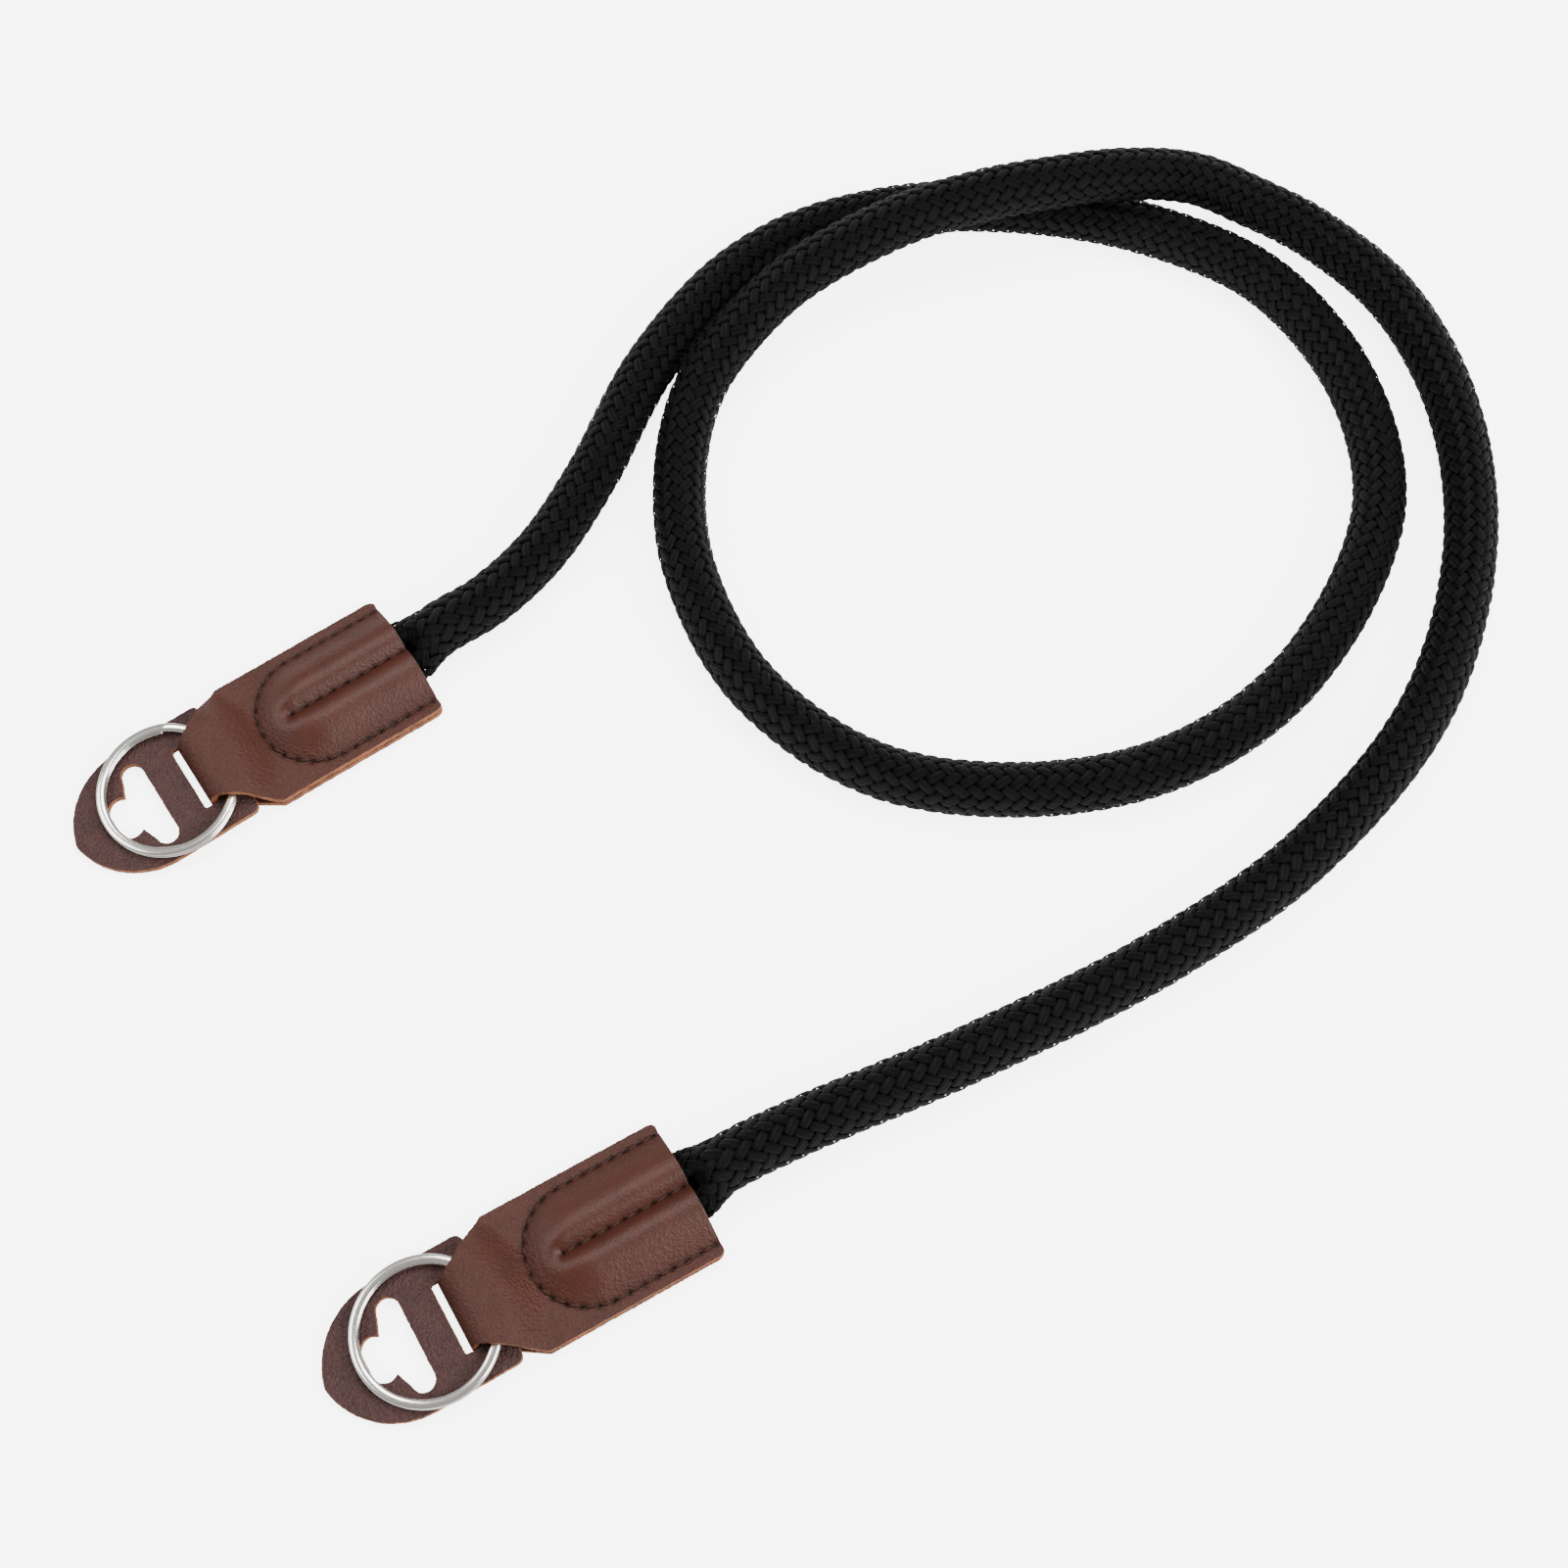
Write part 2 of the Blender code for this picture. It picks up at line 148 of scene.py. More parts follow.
# The rope's route from end a to end b, in metres, as in the solids
ROPE_ROUTE = [
    (0.0062, 0.0698, 0.0051),
    (0.0142, 0.0752, 0.0051),
    (0.0240, 0.0858, 0.0051),
    (0.0330, 0.1019, 0.0051),
    (0.0437, 0.1262, 0.0051),
    (0.0588, 0.1465, 0.0051),
    (0.0747, 0.1572, 0.0051),
    (0.0987, 0.1631, 0.0051),
    (0.1247, 0.1621, 0.0051),
    (0.1465, 0.1562, 0.0051),
    (0.1647, 0.1456, 0.0051),
    (0.1787, 0.1247, 0.0051),
    (0.1831, 0.1002, 0.0051),
    (0.1773, 0.0798, 0.0051),
    (0.1607, 0.0560, 0.0051),
    (0.1387, 0.0417, 0.0051),
    (0.1117, 0.0369, 0.0051),
    (0.0857, 0.0412, 0.0051),
    (0.0637, 0.0580, 0.0051),
    (0.0521, 0.0813, 0.0051),
    (0.0498, 0.1002, 0.0051),
    (0.0521, 0.1167, 0.0060),
    (0.0569, 0.1267, 0.0074),
    (0.0706, 0.1422, 0.0100),
    (0.0917, 0.1536, 0.0137),
    (0.1079, 0.1585, 0.0154),
    (0.1214, 0.1612, 0.0159),
    (0.1360, 0.1640, 0.0149),
    (0.1509, 0.1658, 0.0110),
    (0.1627, 0.1631, 0.0071),
    (0.1747, 0.1569, 0.0054),
    (0.1893, 0.1418, 0.0051),
    (0.1987, 0.1172, 0.0051),
    (0.1991, 0.0872, 0.0051),
    (0.1882, 0.0542, 0.0051),
    (0.1647, 0.0255, 0.0051),
    (0.1374, 0.0055, 0.0051),
    (0.1017, -0.0131, 0.0051),
    (0.0727, -0.0258, 0.0051),
    (0.0598, -0.0323, 0.0051),
]


def length_property(name, description, default):
    return FloatProperty(name=name, description=description, default=default, unit="LENGTH", precision=5)


def colour_property(name, description, default):
    return FloatVectorProperty(
        name=name, description=description, default=default, size=4, subtype="COLOR", min=0, max=1
    )


class RopeSettings(PropertyGroup):
    """Sizes and colour of the braided rope."""

    diameter: length_property("Diameter", "Thickness of the rope", 0.0100)
    length: length_property("Length", "Rope between the mouths of the leather ends", 0.9100)
    strands: IntProperty(name="Strands", description="Rows of floats round the rope", default=14)
    repeat: length_property("Repeat", "Distance between floats along one row", 0.0030)
    strand_width: length_property("Strand width", "Width of one strand", 0.00184)
    relief: length_property("Relief", "Height of a float above the middle of the weave", 0.00046)
    crown: length_property("Crown", "Height of a strand's middle above its edges", 0.00024)
    proud: length_property("Proud", "How far the floats stand out past the thickness", 0.00017)
    mouth_width: length_property("Mouth width", "Width where the leather presses the rope flat", 0.0130)
    rounding: length_property("Rounding", "Length over which the rope grows round again", 0.0070)
    tuck: length_property("Tuck", "Length of the braid that reaches into the pocket", 0.0120)
    colour: colour_property("Colour", "Dyed yarn", (0.0019, 0.0019, 0.0021, 1))


class LeatherSettings(PropertyGroup):
    """Sizes and colours of the sewn ends and the protectors."""

    thickness: length_property("Thickness", "Leather of the sewn ends", 0.0013)
    length: length_property("Length", "Sewn end from its fold to its mouth", 0.0450)
    width: length_property("Width", "Sewn end across its seams", 0.0262)
    fold_width: length_property("Fold width", "Sewn end across its fold", 0.0128)
    shoulder: length_property("Shoulder", "Length over which the fold widens", 0.0113)
    mouth_corner: length_property("Mouth corner", "Radius of the corners beside the rope", 0.0015)
    seam_inset: length_property("Seam inset", "Outer seam from the edge", 0.0022)
    seam_end: length_property("Seam end", "Last stitch hole from the mouth", 0.0010)
    groove_depth: length_property("Groove depth", "How deep a seam draws the leather in", 0.00022)
    groove_width: length_property("Groove width", "Half width of a seam's groove", 0.00070)
    hole_depth: length_property("Hole depth", "How much deeper it is at a hole", 0.00048)
    hole_width: length_property("Hole width", "Radius of the dimple round a hole", 0.00052)
    pocket: length_property("Pocket", "Depth of the sewn pocket", 0.0306)
    dome_rise: length_property("Dome rise", "How far the rope lifts the top layer", 0.0038)
    dome_ramp: length_property("Dome ramp", "Width of the slope beside the seam", 0.0074)
    centre_seam: length_property("Centre seam", "Length of the middle seam", 0.0242)
    centre_groove: length_property("Centre groove", "Half width of the middle groove", 0.0017)
    centre_depth: FloatProperty(
        name="Centre depth", description="Share of the rise that the middle seam takes away", default=0.46
    )
    stitch: length_property("Stitch", "Distance between stitch holes", 0.00275)
    thread: length_property("Thread", "Thickness of the thread", 0.00080)
    crest_over_ring: length_property("Crest", "Level stretch past the ring's wire", 0.0006)
    crest_fall: length_property("Crest fall", "Slope down from the crest", 0.0066)
    leaf_thickness: length_property("Protector thickness", "Leather of the protectors", 0.0013)
    leaf_width: length_property("Protector width", "Protector across", 0.0248)
    leaf_reach: length_property("Protector reach", "Protector's tip from the fold", 0.0244)
    leaf_tuck: length_property("Protector tuck", "Protector's square end from the fold", 0.0072)
    leaf_corner: length_property("Protector corner", "Radius of its square end's corners", 0.0015)
    leaf_side: length_property("Protector side", "Radius of the two arcs that meet in its tip", 0.0149)
    slit_front: length_property("Slit front", "Slit in front of the fold", 0.0012)
    slit_back: length_property("Slit back", "Slit behind the fold", 0.0020)
    slit_corner: length_property("Slit corner", "Radius of the slit's corners", 0.0004)
    slot_start: length_property("Slot start", "T-shaped slot from the fold", 0.0072)
    slot_length: length_property("Slot length", "Bar of the slot, across the protector", 0.0177)
    slot_width: length_property("Slot width", "Bar of the slot, along the protector", 0.0042)
    stem_length: length_property("Stem length", "Stem of the slot, along the protector", 0.0051)
    stem_width: length_property("Stem width", "Stem of the slot, across the protector", 0.0084)
    stem_corner: length_property("Stem corner", "Radius of the stem's two lobes", 0.0023)
    stem_flare: length_property("Stem flare", "How far each cusp stands out from the stem", 0.0011)
    edge_rounding: length_property("Edge rounding", "Worn edge of the sewn ends", 0.00020)
    leaf_rounding: length_property("Protector rounding", "Worn edge of the protectors", 0.00018)
    colour: colour_property("Colour", "Smooth leather of the sewn ends", (0.0440, 0.0115, 0.0066, 1))
    leaf_colour: colour_property("Protector colour", "Grained leather", (0.0430, 0.0155, 0.0138, 1))
    edge_colour: colour_property("Edge colour", "Raw cut edge", (0.20, 0.068, 0.024, 1))
    thread_colour: colour_property("Thread colour", "Waxed thread", (0.0300, 0.0095, 0.0068, 1))


class RingSettings(PropertyGroup):
    """Sizes and colour of the split rings."""

    diameter: length_property("Diameter", "Ring across its outside", 0.0260)
    wire_width: length_property("Wire width", "Wire across the ring's plane", 0.0017)
    wire_height: length_property("Wire height", "Wire along the ring's axis", 0.00080)
    turn_gap: length_property("Turn gap", "Gap between the two turns", 0.00006)
    step_angle: FloatProperty(
        name="Step", description="Turn over which the wire climbs", default=radians(24), subtype="ANGLE"
    )
    colour: colour_property("Colour", "Nickel plate", (0.74, 0.72, 0.67, 1))


class StageSettings(PropertyGroup):
    """Camera, floor and light."""

    aim: FloatVectorProperty(
        name="Aim", description="Point that the camera looks at", default=(0.0697, 0.0402, 0), subtype="XYZ"
    )
    elevation: FloatProperty(
        name="Elevation", description="Camera above the floor", default=radians(67), subtype="ANGLE"
    )
    distance: length_property("Distance", "Camera from its aim", 0.48855)
    lens: FloatProperty(name="Lens", description="Focal length in millimetres", default=61.16)
    floor_size: length_property("Floor size", "Half width of the floor", 2.5)
    floor_drop: length_property("Floor drop", "Floor below the strap", 0.0002)
    floor_colour: colour_property("Floor", "Pale floor", (0.90, 0.90, 0.90, 1))
    floor_glow: FloatProperty(
        name="Glow", description="Extra brightness that only the camera sees", default=5.0
    )
    sky: FloatProperty(name="Sky", description="Even light from all round", default=0.50)


# Frames and small helpers


def smooth(share):
    """0 to 1 with flat ends."""
    share = min(max(share, 0.0), 1.0)
    return share * share * (3 - 2 * share)


def arc(centre, radius, start, end, steps):
    """Points from one angle to another round a centre."""
    angles = [start + (end - start) * i / steps for i in range(steps + 1)]
    return [(centre[0] + radius * cos(a), centre[1] + radius * sin(a)) for a in angles]


def leaf_slope(leather):
    """Rise of the protector from its tip on the floor to the fold, as a share of its run."""
    pivot = leather.thickness / 2 + LOWER_BEND_RADIUS
    return (leather.thickness + CLEARANCE) / (leather.leaf_reach + pivot)


def end_frame(letter, leather, ring):
    """Frame of one end, read from its ring's joint: on the floor under the fold, +X toward the rope."""
    joint = next(j for j in frame["joints"] if j["name"] == f"ring_{letter}_turn")
    axis, centre = Vector(joint["axis"]), Vector(joint["pos_m"])
    heading = atan2(-axis.y, -axis.x)
    along = Vector((cos(heading), sin(heading), 0))
    above_leaf = leather.leaf_thickness + CLEARANCE + ring.wire_height + ring.turn_gap / 2
    lean = above_leaf * sin(atan(leaf_slope(leather)))
    fold = Vector((centre.x, centre.y, 0)) + along * (RING_CENTRE + lean)
    return Matrix.Translation(fold) @ Matrix.Rotation(heading, 4, "Z")


def leaf_plane(leather, height, x=0.0):
    """Frame on the sloping protector, a height above its underside."""
    slope = leaf_slope(leather)
    turn = Matrix.Rotation(-atan(slope), 4, "Y")
    low = (x + leather.leaf_reach) * slope
    return Matrix.Translation((x, 0, low)) @ turn @ Matrix.Translation((0, 0, height))


def add_piece(name, mesh, materials, body, *nodes):
    """Link a finished mesh, give it its materials, and let it ride on its body."""
    piece = bpy.data.objects.new(name, mesh)
    bpy.context.scene.collection.objects.link(piece)
    for finish in materials:
        mesh.materials.append(finish)
    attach(piece, body)
    if nodes:
        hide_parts(*nodes)
    return piece


def shade_smooth(mesh):
    mesh.polygons.foreach_set("use_smooth", [True] * len(mesh.polygons))


# Materials


class Nodes:
    """Short names for the nodes of one material."""

    def __init__(self, name):
        self.material = bpy.data.materials.new(name)
        self.material.use_nodes = True
        self.tree = self.material.node_tree
        self.shader = self.tree.nodes["Principled BSDF"]

    def node(self, kind, **values):
        made = self.tree.nodes.new(kind)
        for key, value in values.items():
            if key in made.inputs:
                made.inputs[key].default_value = value
            else:
                setattr(made, key, value)
        return made

    def link(self, source, target):
        self.tree.links.new(source, target)

    def place(self, scale=1.0):
        """Object coordinates in millimetres, times a scale."""
        coordinates = self.node("ShaderNodeTexCoord")
        mapping = self.node("ShaderNodeMapping")
        mapping.inputs["Scale"].default_value = (1000 * scale,) * 3
        self.link(coordinates.outputs["Object"], mapping.inputs["Vector"])
        return mapping.outputs["Vector"]

    def noise(self, place, scale, detail=3.0, roughness=0.55):
        made = self.node("ShaderNodeTexNoise", Scale=scale, Detail=detail, Roughness=roughness)
        self.link(place, made.inputs["Vector"])
        return made.outputs["Fac"]

    def cells(self, place, scale, feature="F1"):
        made = self.node("ShaderNodeTexVoronoi", feature=feature, Scale=scale)
        self.link(place, made.inputs["Vector"])
        return made.outputs["Distance"]

    def spread(self, value, low, high, start=0.0, end=1.0):
        """Map a value's range to another range."""
        made = self.node("ShaderNodeMapRange")
        for key, number in zip(("From Min", "From Max", "To Min", "To Max"), (start, end, low, high)):
            made.inputs[key].default_value = number
        self.link(value, made.inputs["Value"])
        return made.outputs["Result"]

    def maths(self, operation, *values):
        made = self.node("ShaderNodeMath", operation=operation)
        for socket, value in zip(made.inputs, values):
            if isinstance(value, (int, float)):
                socket.default_value = value
            else:
                self.link(value, socket)
        return made.outputs["Value"]

    def ramp(self, value, stops):
        made = self.node("ShaderNodeValToRGB")
        ends = made.color_ramp.elements
        while len(ends) < len(stops):
            ends.new(0.5)
        for element, (position, colour) in zip(ends, stops):
            element.position = position
            element.color = colour
        self.link(value, made.inputs["Fac"])
        return made.outputs["Color"]

    def bump(self, height, distance, strength=1.0):
        made = self.node("ShaderNodeBump", Strength=strength, Distance=distance)
        self.link(height, made.inputs["Height"])
        return made.outputs["Normal"]

    def finish(self, colour=None, roughness=None, normal=None, **fixed):
        for key, value in (("Base Color", colour), ("Roughness", roughness), ("Normal", normal)):
            if value is not None:
                self.link(value, self.shader.inputs[key])
        for key, value in fixed.items():
            self.shader.inputs[key.replace("_", " ")].default_value = value
        return self.material


def tinted(colour, factor):
    """A colour made darker or lighter."""
    return (*(min(1.0, part * factor) for part in colour[:3]), 1)


def yarn_material(colour):
    """Dull black yarn: two plies side by side in each strand, with filaments that run aslant, coloured
    lighter on their tops and less bright in the grooves as painted highlight and painted shade.

    The yarn's own coordinates run across and along each float, in millimetres.
    """
    nodes = Nodes("braided_yarn")
    strand = nodes.node("ShaderNodeUVMap", uv_map="yarn").outputs["UV"]
    plies = nodes.node("ShaderNodeTexWave", Scale=0.360, Distortion=0.35)
    nodes.link(strand, plies.inputs["Vector"])
    turned = nodes.node("ShaderNodeMapping", Rotation=(0, 0, radians(16)))
    nodes.link(strand, turned.inputs["Vector"])
    filaments = nodes.node("ShaderNodeTexWave", Scale=1.6, Distortion=2.2, Detail=2.0)
    nodes.link(turned.outputs["Vector"], filaments.inputs["Vector"])
    fuzz = nodes.noise(nodes.place(), scale=5.5, detail=4.0, roughness=0.7)
    twist = nodes.maths("ADD", plies.outputs["Fac"], nodes.spread(filaments.outputs["Fac"], 0.0, 0.45))
    height = nodes.maths("ADD", twist, nodes.spread(fuzz, 0.0, 0.5))
    patches = nodes.noise(nodes.place(), scale=0.45, detail=2.0)
    # Painted highlight and painted shade: lighter on the tops of the plies and filaments and less bright in
    # the grooves between them, with random patches of tone
    shade = nodes.maths("ADD", nodes.spread(twist, 0.0, 0.5, 0.0, 1.45), nodes.spread(patches, 0.0, 0.5))
    colours = nodes.ramp(shade, ((0.2, tinted(colour, 0.25)), (0.75, tinted(colour, 1.8))))
    rough = nodes.spread(filaments.outputs["Fac"], 0.62, 0.42)
    normal = nodes.bump(height, 0.00030)
    return nodes.finish(colours, rough, normal, Specular_IOR_Level=0.12)


def painted_shade_core_material(colour):
    """The braid's core, seen between its strands, coloured much less bright than the yarn as painted shade
    in the gaps.
    """
    nodes = Nodes("braid_core_painted_shade")
    fuzz = nodes.noise(nodes.place(), scale=4.0)
    # Painted shade: a fifth to under half of the yarn's colour, for the shade in the gaps between the
    # strands
    colours = nodes.ramp(fuzz, ((0.3, tinted(colour, 0.2)), (0.7, tinted(colour, 0.45))))
    return nodes.finish(colours, None, nodes.bump(fuzz, 0.0001), Roughness=0.9, Specular_IOR_Level=0.0)


def smooth_leather_material(colour):
    """Finished leather: pebbled where it lies flat, smoother and glossier where the rope stretches it, with
    painted shade round the stitch holes.
    """
    nodes = Nodes("smooth_leather")
    place = nodes.place()
    stretch = nodes.node("ShaderNodeAttribute", attribute_name="stretch").outputs["Fac"]
    pebbles = nodes.cells(place, 2.6, "SMOOTH_F1")
    creases = nodes.cells(place, 1.3)
    grain = nodes.maths("ADD", pebbles, nodes.spread(creases, 0.0, 0.6))
    pores = nodes.noise(place, scale=6.5, detail=3.0, roughness=0.6)
    relief = nodes.maths("ADD", grain, nodes.spread(pores, 0.0, 0.5))
    calm = nodes.spread(stretch, 1.0, 0.30)
    height = nodes.maths("MULTIPLY", relief, calm)
    patches = nodes.noise(place, scale=0.16, detail=3.0, roughness=0.6)
    shade = nodes.maths("MULTIPLY_ADD", pores, 0.30, patches)
    stops = ((0.40, tinted(colour, 0.85)), (0.62, colour), (0.88, tinted(colour, 1.15)))
    colours = nodes.ramp(shade, stops)
    # Painted shade: round the stitch holes the colour is mixed towards near black, for the shade inside the
    # holes
    hole = nodes.node("ShaderNodeAttribute", attribute_name="hole").outputs["Fac"]
    painted_hole_shade = nodes.node("ShaderNodeMix", data_type="RGBA")
    painted_hole_shade.inputs["B"].default_value = tinted(colour, 0.08)
    nodes.link(hole, painted_hole_shade.inputs["Factor"])
    nodes.link(colours, painted_hole_shade.inputs["A"])
    rough = nodes.maths("ADD", nodes.spread(stretch, 0.48, 0.42), nodes.spread(pores, -0.05, 0.07))
    normal = nodes.bump(height, 0.00018)
    return nodes.finish(painted_hole_shade.outputs["Result"], rough, normal, Specular_IOR_Level=0.24)


def grained_leather_material(colour):
    """Protector leather with a fine pebble all over."""
    nodes = Nodes("grained_leather")
    place = nodes.place()
    pebbles = nodes.cells(place, 2.6, "SMOOTH_F1")
    wrinkles = nodes.noise(place, scale=1.6, detail=4.0, roughness=0.65)
    height = nodes.maths("ADD", pebbles, nodes.spread(wrinkles, 0.0, 0.9))
    patches = nodes.noise(place, scale=0.25, detail=3.0)
    shade = nodes.maths("MULTIPLY_ADD", pebbles, 0.35, patches)
    stops = ((0.35, tinted(colour, 1.20)), (0.60, colour), (0.90, tinted(colour, 0.75)))
    colours = nodes.ramp(shade, stops)
    rough = nodes.spread(pebbles, 0.42, 0.62)
    return nodes.finish(colours, rough, nodes.bump(height, 0.00034), Specular_IOR_Level=0.28)


def raw_edge_material(colour):
    """Cut edge: pale fibres in layers under the dyed face."""
    nodes = Nodes("raw_edge")
    place = nodes.place()
    fibres = nodes.noise(place, scale=3.2, detail=5.0, roughness=0.7)
    patches = nodes.noise(place, scale=0.5, detail=2.0)
    shade = nodes.maths("MULTIPLY_ADD", fibres, 0.6, patches)
    stops = ((0.45, tinted(colour, 0.30)), (0.72, colour), (1.0, tinted(colour, 1.7)))
    colours = nodes.ramp(shade, stops)
    return nodes.finish(colours, None, nodes.bump(fibres, 0.0003), Roughness=0.85)


def thread_material(colour):
    """Waxed thread in uneven shades."""
    nodes = Nodes("waxed_thread")
    twist = nodes.noise(nodes.place(), scale=3.0, detail=3.0)
    colours = nodes.ramp(twist, ((0.35, tinted(colour, 0.5)), (0.7, tinted(colour, 1.5))))
    normal = nodes.bump(twist, 0.0001)
    return nodes.finish(colours, None, normal, Roughness=0.6, Specular_IOR_Level=0.2)


def nickel_material(colour):
    """Bright plate with faint drawing marks."""
    nodes = Nodes("nickel_plate")
    marks = nodes.noise(nodes.place(), scale=2.2, detail=4.0, roughness=0.6)
    rough = nodes.spread(marks, 0.10, 0.24)
    normal = nodes.bump(marks, 0.00002, strength=0.5)
    return nodes.finish(None, rough, normal, Metallic=1.0, Base_Color=colour)


def floor_material(colour, glow):
    """Pale floor that the camera sees overexposed, as in a cut-out photograph."""
    nodes = Nodes("pale_floor")
    seen = nodes.node("ShaderNodeLightPath").outputs["Is Camera Ray"]
    nodes.link(nodes.maths("MULTIPLY", seen, glow), nodes.shader.inputs["Emission Strength"])
    return nodes.finish(Base_Color=colour, Roughness=0.9, Emission_Color=(1, 1, 1, 1))


# Rope


def smooth_route(points, steps=16):
    """A curve through the points that doesn't overshoot where they lie close together."""
    ends = [2 * points[0] - points[1]] + points + [2 * points[-1] - points[-2]]
    line = []
    for a, b, c, d in zip(ends, ends[1:], ends[2:], ends[3:]):
        knots = [0.0]
        for p, q in ((a, b), (b, c), (c, d)):
            knots.append(knots[-1] + sqrt((q - p).length))
        for i in range(steps):
            t = knots[1] + (knots[2] - knots[1]) * i / steps
            line.append(blended(a, b, c, d, knots, t))
    return line + [points[-1]]


def blended(a, b, c, d, knots, t):
    """Point of the curve between b and c at the knot value t."""
    first = a.lerp(b, (t - knots[0]) / (knots[1] - knots[0]))
    second = b.lerp(c, (t - knots[1]) / (knots[2] - knots[1]))
    third = c.lerp(d, (t - knots[2]) / (knots[3] - knots[2]))
    left = first.lerp(second, (t - knots[0]) / (knots[2] - knots[0]))
    right = second.lerp(third, (t - knots[1]) / (knots[3] - knots[1]))
    return left.lerp(right, (t - knots[1]) / (knots[2] - knots[1]))


def evenly(line, spacing):
    """Points at equal steps along a line, both of its ends among them."""
    runs = [0.0]
    for p, q in zip(line, line[1:]):
        runs.append(runs[-1] + (q - p).length)
    count = round(runs[-1] / spacing)
    made, at = [], 0
    for i in range(count + 1):
        target = runs[-1] * i / count
        while at < len(line) - 2 and runs[at + 1] < target:
            at += 1
        made.append(line[at].lerp(line[at + 1], (target - runs[at]) / (runs[at + 1] - runs[at])))
    return made


def pressed_height(leather):
    """Floor of the pocket and the middle of the rope in it, above the surface that it lies on."""
    floor = leather.thickness + CLEARANCE
    return floor, floor + leather.dome_rise * PRESSED_MIDDLE


def rope_line(rope, leather, ring):
    """The rope's middle from inside one pocket to inside the other."""
    route = [Vector(point) for point in ROPE_ROUTE]
    middle = pressed_height(leather)[1]
    inside = (leather.length - rope.tuck, leather.length - rope.tuck / 2, leather.length)
    runs = []
    for letter in ENDS:
        seat = end_frame(letter, leather, ring)
        runs.append([seat @ Vector((x, 0, middle)) for x in inside])
    return evenly(smooth_route(runs[0] + route + runs[1][::-1]), LINE_STEP)


class RopeForm:
    """Turns a place along and round the rope into a point of its surface."""

    def __init__(self, line, rope, leather):
        self.line, self.rope, self.leather = line, rope, leather
        self.step = (line[1] - line[0]).length
        self.total = self.step * (len(line) - 1)
        self.sides = []
        for i in range(len(line)):
            ahead = (line[min(i + 1, len(line) - 1)] - line[max(i - 1, 0)]).normalized()
            side = Vector((0, 0, 1)).cross(ahead).normalized()
            self.sides.append((side, ahead.cross(side)))

    def frame(self, along):
        """The rope's middle, and its directions across and up."""
        place = min(max(along / self.step, 0), len(self.line) - 1.001)
        i, share = int(place), place - int(place)
        middle = self.line[i].lerp(self.line[i + 1], share)
        side = self.sides[i][0].lerp(self.sides[i + 1][0], share)
        return middle, side, self.sides[i][1].lerp(self.sides[i + 1][1], share)

    def roundness(self, along):
        """0 where the leather presses the rope flat, 1 where it is round."""
        from_end = min(along, self.total - along)
        return smooth((from_end - self.rope.tuck) / self.rope.rounding)

    def outline(self, along, angle):
        """Across and up from the middle to the rope's outside: round, or pressed flat near the mouths."""
        radius = self.rope.diameter / 2
        full = (radius * cos(angle), radius * sin(angle))
        share = self.roundness(along)
        if share == 1:
            return full
        leather = self.leather
        floor, middle = pressed_height(leather)
        across = self.rope.mouth_width / 2 * cos(angle)
        x = min(leather.length, leather.length - self.rope.tuck + min(along, self.total - along))
        roof = floor + dome(leather, x, across) - CLEARANCE
        up = (roof - middle if sin(angle) > 0 else floor - middle) * abs(sin(angle)) ** PRESSED_POWER
        return tuple(flat + (whole - flat) * share for flat, whole in zip((across, up), full))

    def point(self, along, angle, sink):
        """Point of the surface, sunk toward the middle."""
        middle, side, up = self.frame(along)
        across, rise = self.outline(along, angle)
        return middle + (side * across + up * rise) * (1 - sink / (self.rope.diameter / 2))


def float_point(form, rope, shape, place, run_share, width_share):
    """Point of one float, whose ends dive under its neighbours, and its place in the yarn's pattern."""
    along, angle, way = place
    slant, crossing, half, lift, lean = shape
    radius = rope.diameter / 2
    run, width = run_share * FLOAT_REACH * crossing, -width_share * half
    arch = 1 - abs(run / crossing) ** FLOAT_ARCH + lift
    rise = rope.relief * arch - rope.crown * width_share**2
    s = along + run * cos(slant + lean) - way * width * sin(slant)
    turn = angle + (way * run * sin(slant + lean) + width * cos(slant)) / radius
    return form.point(s, turn, rope.relief - rise - rope.proud), (width * 1000, run * 1000)


def float_row(braid, layer, form, rope, angle, way, rng):
    """A row of floats that slant one way, cut from one long grid."""
    count = int(form.total / rope.repeat)
    slant = atan(tau * rope.diameter / 2 / rope.strands / rope.repeat)
    crossing = pi * rope.diameter / 2 / rope.strands / sin(slant)
    steps = count * FLOAT_COLUMNS - 1
    made = bmesh.ops.create_grid(braid, x_segments=steps, y_segments=FLOAT_ROWS - 1, size=1)["verts"]
    shapes = []
    for _ in range(count):
        half = rope.strand_width / 2 * rng.uniform(1 - UNEVEN_WIDTH, 1 + UNEVEN_WIDTH)
        lift = rng.uniform(-UNEVEN_LIFT, UNEVEN_LIFT)
        lean = rng.uniform(-UNEVEN_LEAN, UNEVEN_LEAN)
        shapes.append((slant, crossing, half, lift, lean))
    index, uvs = {}, {}
    for vertex in made:
        place, step = divmod(round((vertex.co.x + 1) / 2 * steps), FLOAT_COLUMNS)
        along = (place + 0.5 - way / 4) * rope.repeat
        run = 2 * step / (FLOAT_COLUMNS - 1) - 1
        shares = copysign(1 - (1 - abs(run)) ** FLOAT_CROWDING, run), vertex.co.y
        vertex.co, uv = float_point(form, rope, shapes[place], (along, angle, way), *shares)
        index[vertex] = place
        uvs[vertex] = (uv[0], uv[1] + YARN_SHIFT * place)
    faces = {face for vertex in made for face in vertex.link_faces}
    joins = [face for face in faces if len({index[vertex] for vertex in face.verts}) > 1]
    for face in faces.difference(joins):
        for loop in face.loops:
            loop[layer].uv = uvs[loop.vert]
    bmesh.ops.delete(braid, geom=joins, context="FACES")


